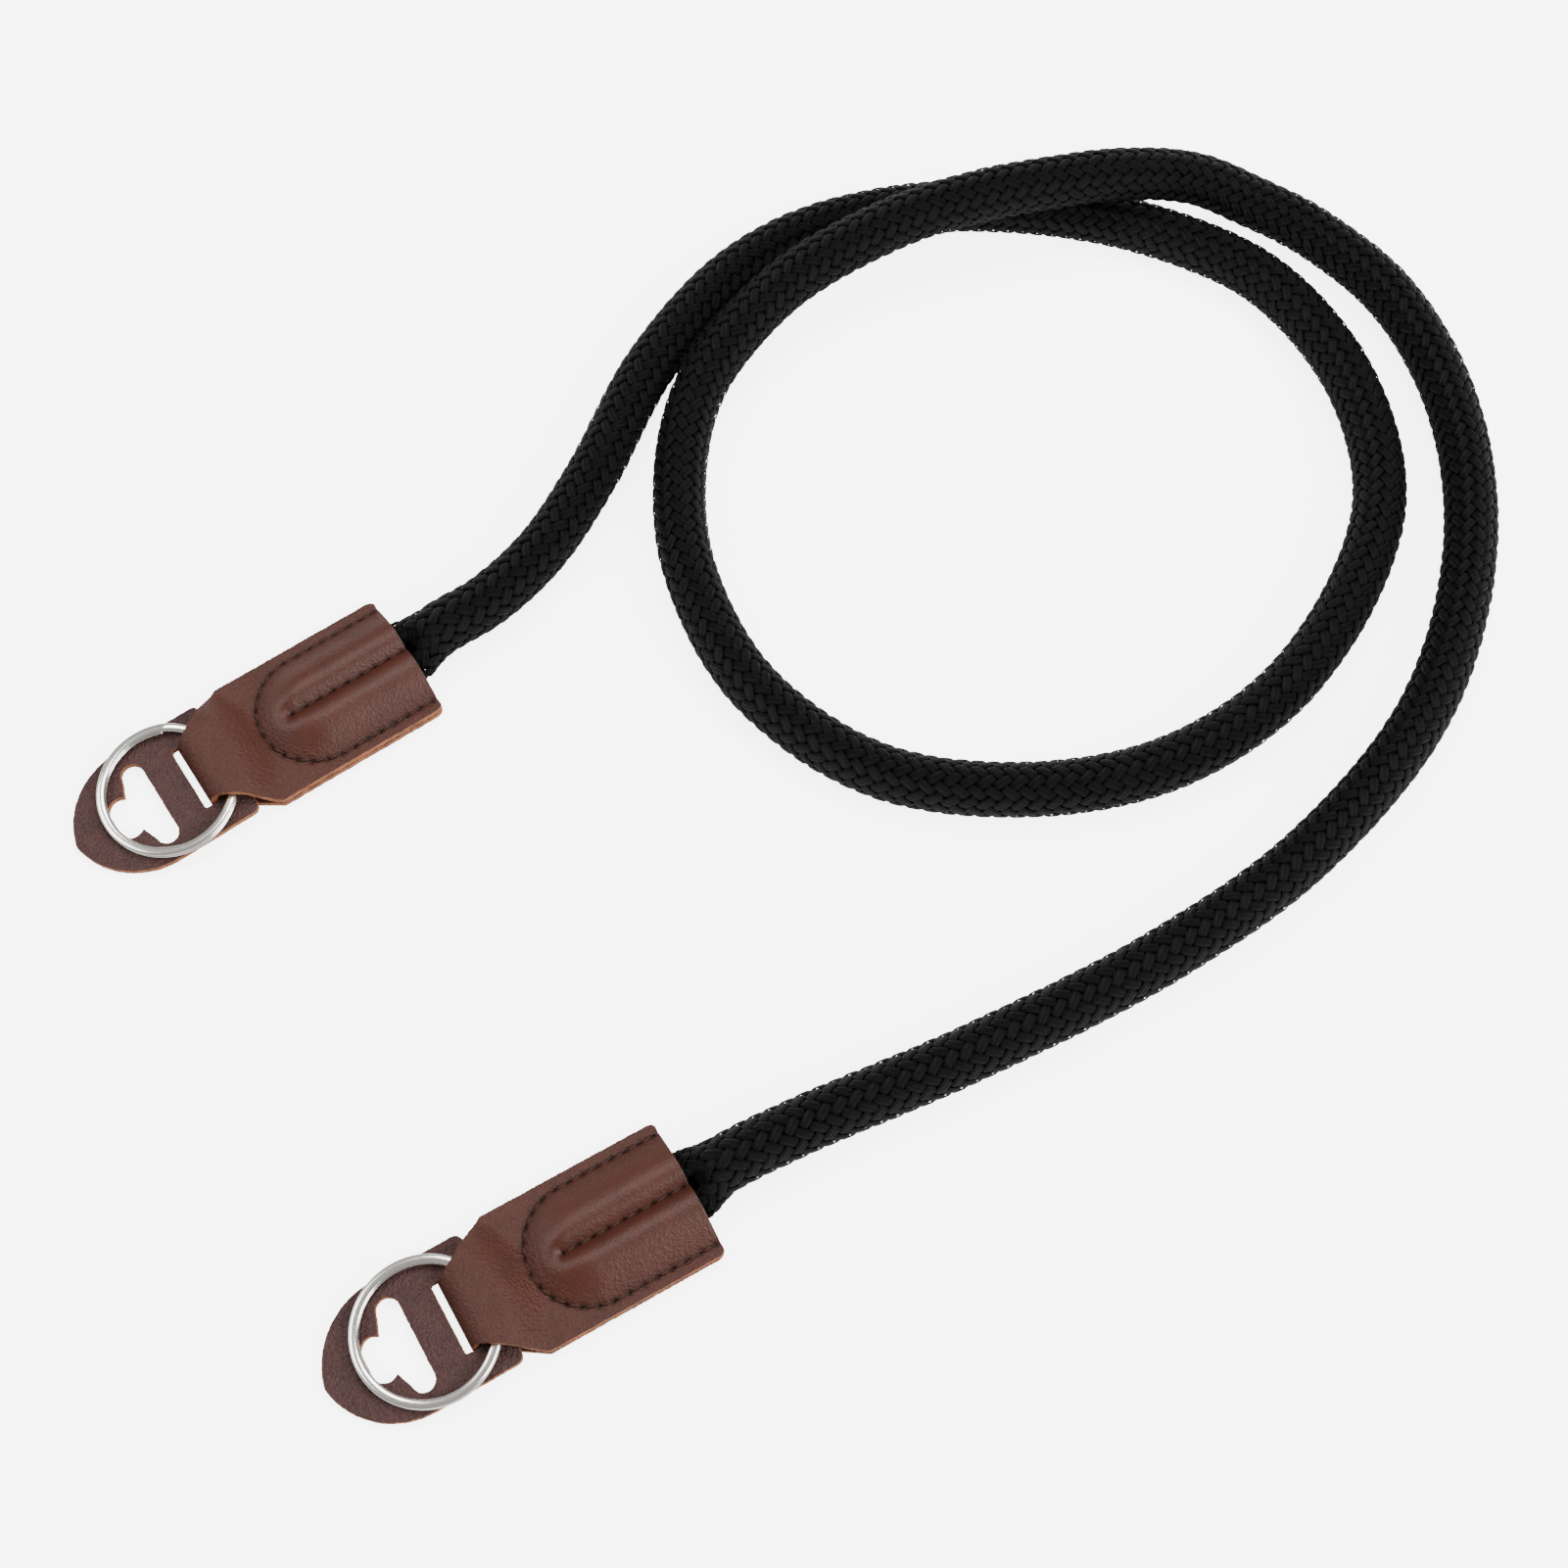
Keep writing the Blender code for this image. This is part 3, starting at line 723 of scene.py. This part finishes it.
def add_core(braid, form, rope):
    """Closed tube under the floats, which carries the core's painted shade."""
    steps = round(form.total / (CORE_STEP * rope.diameter))
    made = bmesh.ops.create_grid(braid, x_segments=steps, y_segments=CORE_SIDES, size=1)["verts"]
    faces = {face for vertex in made for face in vertex.link_faces}
    for vertex in made:
        along = (vertex.co.x + 1) / 2 * form.total
        share = CORE_SINK + PRESSED_CORE_SINK * (1 - form.roundness(along))
        vertex.co = form.point(along, -pi * vertex.co.y, share * rope.diameter / 2)
    for face in faces:
        face.material_index = 1
    bmesh.ops.remove_doubles(braid, verts=made, dist=1e-6)
    rim = {edge for face in faces if face.is_valid for edge in face.edges if edge.is_boundary}
    bmesh.ops.holes_fill(braid, edges=list(rim), sides=0)


def braid_mesh(name, line, rope, leather):
    """Rows of floats along the rope, every second row slanting the other way, over a dark core."""
    form = RopeForm(line, rope, leather)
    rng = Random(7)
    braid = bmesh.new()
    layer = braid.loops.layers.uv.new("yarn")
    for row in range(rope.strands):
        angle = (2 * row + 0.5) * pi / rope.strands
        float_row(braid, layer, form, rope, angle, 1 if row % 2 == 0 else -1, rng)
    add_core(braid, form, rope)
    mesh = bpy.data.meshes.new(name)
    braid.to_mesh(mesh)
    braid.free()
    shade_smooth(mesh)
    return mesh


# Leather ends


def outer_seam(leather):
    """Half width of the outer seam, and where its straight sides turn into the half circle."""
    half = leather.width / 2 - leather.seam_inset
    return half, leather.length - leather.pocket + half


def dome(leather, x, y):
    """How far the sewn-in rope lifts the top layer above the flat seam."""
    seam, turn = outer_seam(leather)
    inside = seam - (abs(y) if x > turn else hypot(x - turn, y))
    share = min(max(inside / leather.dome_ramp, 0), 1)
    swell = (share * (2 - share) + smooth(share)) / 2
    start = leather.length - leather.centre_seam
    from_stitches = hypot(min(x - start, 0), y) / leather.centre_groove
    pinch = 1 - leather.centre_depth * exp(-(from_stitches**2))
    return leather.dome_rise * swell * pinch


def ring_bottom(leather, x):
    """Underside of the ring's wire, which lies on the sloping protector."""
    slope = leaf_slope(leather)
    leaf = leather.leaf_thickness * sqrt(1 + slope**2)
    return (x + leather.leaf_reach) * slope + leaf + CLEARANCE


def top_layer(leather, ring, x, y=0.0):
    """Middle of the top layer, without the dome: over the ring, then down to the seam."""
    flat = 1.5 * leather.thickness + CLEARANCE
    cover = ring.diameter / 2 + leather.crest_over_ring
    ring_height = 2 * ring.wire_height + ring.turn_gap
    over_ring = ring_bottom(leather, min(x, cover - RING_CENTRE)) + ring_height + CLEARANCE
    crest = over_ring + leather.thickness / 2
    share = min(max((hypot(x + RING_CENTRE, y) - cover) / leather.crest_fall, 0), 1)
    return crest + (flat - crest) * (share + smooth(share)) / 2


def seam_lines(leather):
    """Stitch holes of the outer and the middle seam, each from one end to the other."""
    half, turn = outer_seam(leather)
    mouth = leather.length - leather.seam_end
    side = [Vector((mouth, half, 0)), Vector((turn, half, 0))]
    bend = [Vector((*point, 0)) for point in arc((turn, 0), half, 0.5 * pi, 1.5 * pi, 48)]
    outer = side + bend[1:] + [Vector((mouth, -half, 0))]
    middle = [Vector((leather.length - leather.centre_seam, 0, 0)), Vector((mouth, 0, 0))]
    return [evenly(line, leather.stitch) for line in (outer, middle)]


def seam_sink(leather, holes, x, y):
    """How deep the stitches draw the leather in, and how strongly painted shade darkens it near a hole, 0
    to 1.
    """
    half, turn = outer_seam(leather)
    outer = abs(abs(y) - half) if x > turn else abs(hypot(x - turn, y) - half)
    start = leather.length - leather.centre_seam
    middle = hypot(min(x - start, 0), y)
    groove = leather.groove_depth * exp(-((min(outer, middle) / leather.groove_width) ** 2))
    if min(outer, middle) > SEAM_REACH:
        return groove, 0.0
    near = min((x - hole.x) ** 2 + (y - hole.y) ** 2 for hole in holes)
    dimple = leather.hole_depth * exp(-near / leather.hole_width**2)
    return groove + dimple, min(1.0, HOLE_SHADE * exp(-near / HOLE_SHADE_WIDTH**2))


def strip_line(leather, ring):
    """Rows along the strip's middle: x, z and the layer, 0 below, 1 in the fold, 2 on top."""
    low = leather.thickness / 2
    lower = (low + LOWER_BEND_RADIUS, low + LOWER_BEND_RADIUS)
    upper_x = low + UPPER_BEND_RADIUS
    upper = (upper_x, top_layer(leather, ring, upper_x) - UPPER_BEND_RADIUS)
    back = (lower[0] - leather.length) / LOWER_ROWS
    rows = [(leather.length + back * i, low, 0) for i in range(LOWER_ROWS)]
    rows += [(x, z, 1) for x, z in arc(lower, LOWER_BEND_RADIUS, 1.5 * pi, pi, LOWER_BEND_ROWS)]
    rows += [(x, z, 1) for x, z in arc(upper, UPPER_BEND_RADIUS, pi, 0.5 * pi, UPPER_BEND_ROWS)]
    ahead = (leather.length - upper_x) / UPPER_ROWS
    tops = [upper_x + ahead * i for i in range(1, UPPER_ROWS + 1)]
    return rows + [(x, top_layer(leather, ring, x), 2) for x in tops]


def strip_half_width(leather, x):
    """Narrow at the fold, full width past the shoulders, rounded at the mouth."""
    start = leather.thickness
    share = min(max((x - start) / (leather.shoulder - start), 0), 1)
    half = (leather.fold_width + (leather.width - leather.fold_width) * share) / 2
    corner = leather.mouth_corner
    into_corner = min(max(x - (leather.length - corner), 0), corner)
    return half - corner + sqrt(corner**2 - into_corner**2 * MOUTH_BLUNTNESS)


def tab_mesh(name, leather, ring, seat, seed):
    """The strip as one sheet through the fold, which the modifiers give its thickness."""
    rng = Random(seed)
    rows = strip_line(leather, ring)
    holes = [hole for line in seam_lines(leather) for hole in line]
    cuts = [[rng.uniform(-1, 1) * STRIP_WANDER for _ in rows] for _ in range(2)]
    sheet = bmesh.new()
    bmesh.ops.create_grid(sheet, x_segments=len(rows) - 1, y_segments=STRIP_COLUMNS, size=1)
    stretch = sheet.verts.layers.float.new("stretch")
    # Weight of the painted shade round the stitch holes, which the leather's colour reads
    hole = sheet.verts.layers.float.new("hole")
    for vertex in sheet.verts:
        row = round((vertex.co.x + 1) / 2 * (len(rows) - 1))
        x, z, layer = rows[row]
        share = vertex.co.y
        y = share * strip_half_width(leather, x)
        if abs(share) > 0.999:
            y += cuts[share > 0][row]
        if layer != 1:
            sink, vertex[hole] = seam_sink(leather, holes, x, y)
        if layer == 2:
            rise = dome(leather, x, y)
            z = top_layer(leather, ring, x, y) + rise - sink
            vertex[stretch] = smooth(rise / leather.dome_rise * STRETCH_GAIN)
        elif layer == 0:
            z += UNDERSIDE_SHARE * sink
        vertex.co = seat @ Vector((x, y, z))
    mesh = bpy.data.meshes.new(name)
    sheet.to_mesh(mesh)
    sheet.free()
    shade_smooth(mesh)
    return mesh


def finish_tab(piece, leather):
    """Thickness, raw rim and worn edges of the strip."""
    wall = piece.modifiers.new("wall", "SOLIDIFY")
    wall.thickness = leather.thickness
    wall.offset = 0
    wall.use_even_offset = True
    wall.material_offset_rim = 1
    edge = piece.modifiers.new("edge", "BEVEL")
    edge.width = leather.edge_rounding
    edge.segments = 2
    edge.limit_method = "ANGLE"
    edge.angle_limit = radians(55)


def stitch_mesh(name, leather, ring, seat, seed):
    """Sunken stitches from hole to hole, above and below."""
    rng = Random(seed)
    lines = seam_lines(leather)
    holes = [hole for line in lines for hole in line]
    sewn = bmesh.new()
    for line in lines:
        for start, stop in zip(line, line[1:]):
            middle, run = (start + stop) / 2, stop - start
            x, y = middle.x, middle.y
            skin = top_layer(leather, ring, x, y) + dome(leather, x, y) + leather.thickness / 2
            skin -= seam_sink(leather, holes, x, y)[0]
            ahead = skin_slope(leather, ring, middle, run)
            for height, turn in ((skin + STITCH_HEIGHT, ahead), (leather.thread / 2, 0.0)):
                side = atan2(run.y, run.x) + radians(rng.uniform(*STITCH_TURNS))
                radius = leather.thread * STITCH_RADIUS
                size = (STITCH_REACH * run.length, radius, radius)
                place = Matrix.Translation((x, y, height)) @ Matrix.Rotation(side, 4, "Z")
                place = seat @ place @ Matrix.Rotation(-turn, 4, "Y") @ Matrix.Diagonal((*size, 1))
                bmesh.ops.create_uvsphere(sewn, u_segments=8, v_segments=6, radius=1, matrix=place)
    mesh = bpy.data.meshes.new(name)
    sewn.to_mesh(mesh)
    sewn.free()
    shade_smooth(mesh)
    return mesh


def skin_slope(leather, ring, middle, run):
    """Slope of the top layer along a stitch."""
    ends = []
    for sign in (-0.5, 0.5):
        x, y = (middle + run * sign).xy
        ends.append(top_layer(leather, ring, x, y) + dome(leather, x, y))
    return atan((ends[1] - ends[0]) / run.length)


# Protectors


def leaf_outline(leather):
    """Square inner end, straight sides and two arcs that meet in the tip."""
    half, radius, corner = leather.leaf_width / 2, leather.leaf_side, leather.leaf_corner
    middle = half - radius
    along = sqrt(radius**2 - middle**2)
    side = arc((-leather.leaf_reach + along, middle), radius, 0.5 * pi, pi + asin(middle / radius), 24)
    upper = arc((leather.leaf_tuck - corner, half - corner), corner, 0, 0.5 * pi, 5) + side
    return upper + [(x, -y) for x, y in reversed(upper[:-1])]


def slit_outline(leather):
    """Slit that the leather strip passes through, round the fold."""
    corner = leather.slit_corner
    half = leather.fold_width / 2 + CLEARANCE - corner
    front, back = corner - leather.slit_front, leather.slit_back - corner
    centres = ((back, half), (front, half), (front, -half), (back, -half))
    points = []
    for quarter, centre in enumerate(centres):
        points += arc(centre, corner, quarter * pi / 2, (quarter + 1) * pi / 2, 3)
    return points


def slot_outline(leather):
    """T-shaped slot: a bar with round ends and a stem whose mouth is pinched by two cusps."""
    radius, corner, flare = leather.slot_width / 2, leather.stem_corner, leather.stem_flare
    end = arc((-leather.slot_start - radius, leather.slot_length / 2 - radius), radius, 0, pi, 14)
    stem_start = -leather.slot_start - leather.slot_width
    lobe = (stem_start - leather.stem_length + corner, leather.stem_width / 2 - corner)
    cusp = (stem_start - flare / 2, leather.stem_width / 2 + flare)
    upper = end + [cusp] + arc(lobe, corner, 0.25 * pi, pi, 10)
    return upper + [(x, -y) for x, y in reversed(upper)]


def cut_line(points, rng):
    """A closed outline as a knife leaves it, in short steps with a little unevenness."""
    closed = [Vector((*point, 0)) for point in points + points[:1]]
    line = evenly(closed, LEAF_STEP)[:-1]
    return [point + Vector((rng.uniform(-1, 1), rng.uniform(-1, 1), 0)) * LEAF_WANDER for point in line]


def leaf_mesh(name, leather, seat, seed):
    """The protector, cut out of one leather with its slit and slot, and laid on its slope."""
    rng = Random(seed)
    outline = bpy.data.curves.new("leaf_outline", "CURVE")
    outline.dimensions = "2D"
    outline.fill_mode = "BOTH"
    outline.bevel_depth = leather.leaf_rounding
    outline.bevel_resolution = 2
    outline.offset = -outline.bevel_depth
    outline.extrude = leather.leaf_thickness / 2 - outline.bevel_depth
    for points in (leaf_outline(leather), slit_outline(leather), slot_outline(leather)):
        line = cut_line(points, rng)
        spline = outline.splines.new("POLY")
        spline.points.add(len(line) - 1)
        spline.use_cyclic_u = True
        for point, place in zip(spline.points, line):
            point.co = (*place, 1)
    mesh = mesh_of_curve(outline, name)
    for face in mesh.polygons:
        face.material_index = 0 if abs(face.normal.z) > 0.75 else 1
    mesh.transform(seat @ leaf_plane(leather, leather.leaf_thickness / 2))
    return mesh


def mesh_of_curve(curve, name):
    """The curve as a welded mesh, with the curve itself removed."""
    helper = bpy.data.objects.new("helper", curve)
    bpy.context.scene.collection.objects.link(helper)
    graph = bpy.context.evaluated_depsgraph_get()
    mesh = bpy.data.meshes.new_from_object(helper.evaluated_get(graph))
    bpy.data.objects.remove(helper)
    bpy.data.curves.remove(curve)
    weld = bmesh.new()
    weld.from_mesh(mesh)
    bmesh.ops.remove_doubles(weld, verts=weld.verts, dist=1e-6)
    bmesh.ops.recalc_face_normals(weld, faces=weld.faces)
    weld.to_mesh(mesh)
    weld.free()
    mesh.name = name
    mesh.materials.clear()
    return mesh


# Split rings


def ring_mesh(name, leather, ring, seat, wire_end):
    """Two turns of flat wire: it climbs just before the upper turn begins."""
    profile = bpy.data.curves.new("wire_profile", "CURVE")
    profile.dimensions = "2D"
    spline = profile.splines.new("POLY")
    spline.points.add(WIRE_SIDES - 1)
    spline.use_cyclic_u = True
    for i, point in enumerate(spline.points):
        angle = -tau * i / WIRE_SIDES
        point.co = (ring.wire_width / 2 * cos(angle), ring.wire_height / 2 * sin(angle), 0, 1)
    guide = bpy.data.objects.new("wire_profile", profile)
    bpy.context.scene.collection.objects.link(guide)
    wire = bpy.data.curves.new("wire", "CURVE")
    wire.dimensions = "3D"
    wire.twist_mode = "Z_UP"
    wire.bevel_mode = "OBJECT"
    wire.bevel_object = guide
    wire.use_fill_caps = True
    count = 2 * STEPS_PER_TURN - round(STEPS_PER_TURN * ring.step_angle / tau)
    radius = (ring.diameter - ring.wire_width) / 2
    pitch = ring.wire_height + ring.turn_gap
    spline = wire.splines.new("POLY")
    spline.points.add(count)
    for i, point in enumerate(spline.points):
        angle = tau * i / STEPS_PER_TURN
        rise = pitch * smooth((angle - tau + ring.step_angle) / ring.step_angle)
        place = angle + wire_end
        point.co = (radius * cos(place), radius * sin(place), rise - pitch / 2, 1)
    mesh = mesh_of_curve(wire, name)
    bpy.data.objects.remove(guide)
    height = leather.leaf_thickness + CLEARANCE + ring.wire_height + ring.turn_gap / 2
    mesh.transform(seat @ leaf_plane(leather, height, -RING_CENTRE))
    shade_smooth(mesh)
    return mesh


# Operators


class STRAP_OT_braided_rope(Operator):
    """Braid the rope from one leather pocket to the other"""

    bl_idname = "strap.braided_rope"
    bl_label = "Braided Rope"

    def execute(self, context):
        scene = context.scene
        rope, leather, ring = scene.strap_rope, scene.strap_leather, scene.strap_ring
        line = rope_line(rope, leather, ring)
        mesh = braid_mesh("braided_rope", line, rope, leather)
        finishes = (yarn_material(rope.colour), painted_shade_core_material(rope.colour))
        piece = add_piece("braided_rope", mesh, finishes, "strap", "rope", "rope_end_a", "rope_end_b")
        return {"FINISHED"}


class STRAP_OT_leather_ends(Operator):
    """Fold, sew and edge the two leather ends"""

    bl_idname = "strap.leather_ends"
    bl_label = "Leather Ends"

    def execute(self, context):
        leather, ring = context.scene.strap_leather, context.scene.strap_ring
        finishes = (smooth_leather_material(leather.colour), raw_edge_material(leather.edge_colour))
        thread = thread_material(leather.thread_colour)
        for seed, letter in enumerate(ENDS, start=11):
            seat = end_frame(letter, leather, ring)
            name = "sewn_end_" + letter
            mesh = tab_mesh(name, leather, ring, seat, seed)
            piece = add_piece(name, mesh, finishes, "strap", "leather_end_" + letter)
            finish_tab(piece, leather)
            name = "seam_thread_" + letter
            mesh = stitch_mesh(name, leather, ring, seat, seed)
            add_piece(name, mesh, (thread,), "strap")
        return {"FINISHED"}


class STRAP_OT_protectors(Operator):
    """Cut the two protectors that keep the rings off the camera"""

    bl_idname = "strap.protectors"
    bl_label = "Protectors"

    def execute(self, context):
        leather, ring = context.scene.strap_leather, context.scene.strap_ring
        finishes = (grained_leather_material(leather.leaf_colour), raw_edge_material(leather.edge_colour))
        for seed, letter in enumerate(ENDS, start=21):
            name = "protector_leaf_" + letter
            mesh = leaf_mesh(name, leather, end_frame(letter, leather, ring), seed)
            piece = add_piece(name, mesh, finishes, "strap", "protector_" + letter)
        return {"FINISHED"}


class STRAP_OT_rings(Operator):
    """Coil the two split rings"""

    bl_idname = "strap.rings"
    bl_label = "Split Rings"

    def execute(self, context):
        leather, ring = context.scene.strap_leather, context.scene.strap_ring
        nickel = nickel_material(ring.colour)
        for letter in ENDS:
            name = "key_ring_" + letter
            seat = end_frame(letter, leather, ring)
            wire_end = radians(WIRE_ENDS[letter])
            mesh = ring_mesh(name, leather, ring, seat, wire_end)
            piece = add_piece(name, mesh, (nickel,), "ring_" + letter, "split_ring_" + letter)
        return {"FINISHED"}


class STRAP_OT_stage(Operator):
    """Lay the floor and set the soft lights and the camera"""

    bl_idname = "strap.stage"
    bl_label = "Stage"

    def execute(self, context):
        stage = context.scene.strap_stage
        mesh = bpy.data.meshes.new("floor")
        plane = bmesh.new()
        bmesh.ops.create_grid(plane, x_segments=1, y_segments=1, size=stage.floor_size)
        bmesh.ops.translate(plane, verts=plane.verts, vec=(0, 0, -stage.floor_drop))
        plane.to_mesh(mesh)
        plane.free()
        floor = bpy.data.objects.new("floor", mesh)
        mesh.materials.append(floor_material(stage.floor_colour, stage.floor_glow))
        context.scene.collection.objects.link(floor)
        add_lights(context.scene, stage)
        add_camera(context.scene, stage)
        return {"FINISHED"}


def add_lights(scene, stage):
    """Even light from all round, and three soft lamps."""
    world = bpy.data.worlds.new("studio")
    world.use_nodes = True
    sky = world.node_tree.nodes["Background"]
    sky.inputs["Color"].default_value = (1, 1, 1, 1)
    sky.inputs["Strength"].default_value = stage.sky
    scene.world = world
    for name, place, size, power in LAMPS:
        lamp = bpy.data.lights.new(name, "AREA")
        lamp.size = size
        lamp.energy = power
        holder = bpy.data.objects.new(name, lamp)
        holder.location = place
        holder.rotation_euler = (Vector(LAMP_AIM) - Vector(place)).to_track_quat("-Z", "Y").to_euler()
        scene.collection.objects.link(holder)


def add_camera(scene, stage):
    """Camera in front of its aim, looking down at it."""
    lens = bpy.data.cameras.new("camera")
    lens.lens = stage.lens
    lens.sensor_width = SENSOR_WIDTH
    camera = bpy.data.objects.new("camera", lens)
    back = Vector((0, -cos(stage.elevation), sin(stage.elevation)))
    camera.location = Vector(stage.aim) + back * stage.distance
    camera.rotation_euler = (radians(90) - stage.elevation, 0, 0)
    scene.collection.objects.link(camera)
    scene.camera = camera


class STRAP_PT_panel(Panel):
    """Sidebar panel with one button for each group of pieces"""

    bl_idname = "STRAP_PT_panel"
    bl_label = "Neck Strap"
    bl_space_type = "VIEW_3D"
    bl_region_type = "UI"
    bl_category = "Strap"

    def draw(self, context):
        for made in OPERATORS:
            self.layout.operator(made.bl_idname)
        for name in SETTINGS:
            box = self.layout.box()
            settings = getattr(context.scene, name)
            for key in settings.__annotations__:
                box.prop(settings, key)


SETTINGS = {
    "strap_rope": RopeSettings,
    "strap_leather": LeatherSettings,
    "strap_ring": RingSettings,
    "strap_stage": StageSettings,
}
OPERATORS = (
    STRAP_OT_stage,
    STRAP_OT_braided_rope,
    STRAP_OT_leather_ends,
    STRAP_OT_protectors,
    STRAP_OT_rings,
)


def register():
    for made in (*SETTINGS.values(), *OPERATORS, STRAP_PT_panel):
        bpy.utils.register_class(made)
    for name, settings in SETTINGS.items():
        setattr(bpy.types.Scene, name, PointerProperty(type=settings))


def unregister():
    for name in SETTINGS:
        delattr(bpy.types.Scene, name)
    for made in reversed((*SETTINGS.values(), *OPERATORS, STRAP_PT_panel)):
        bpy.utils.unregister_class(made)


def main():
    register()
    for made in OPERATORS:
        group, name = made.bl_idname.split(".")
        getattr(getattr(bpy.ops, group), name)()


if __name__ == "__main__":
    main()
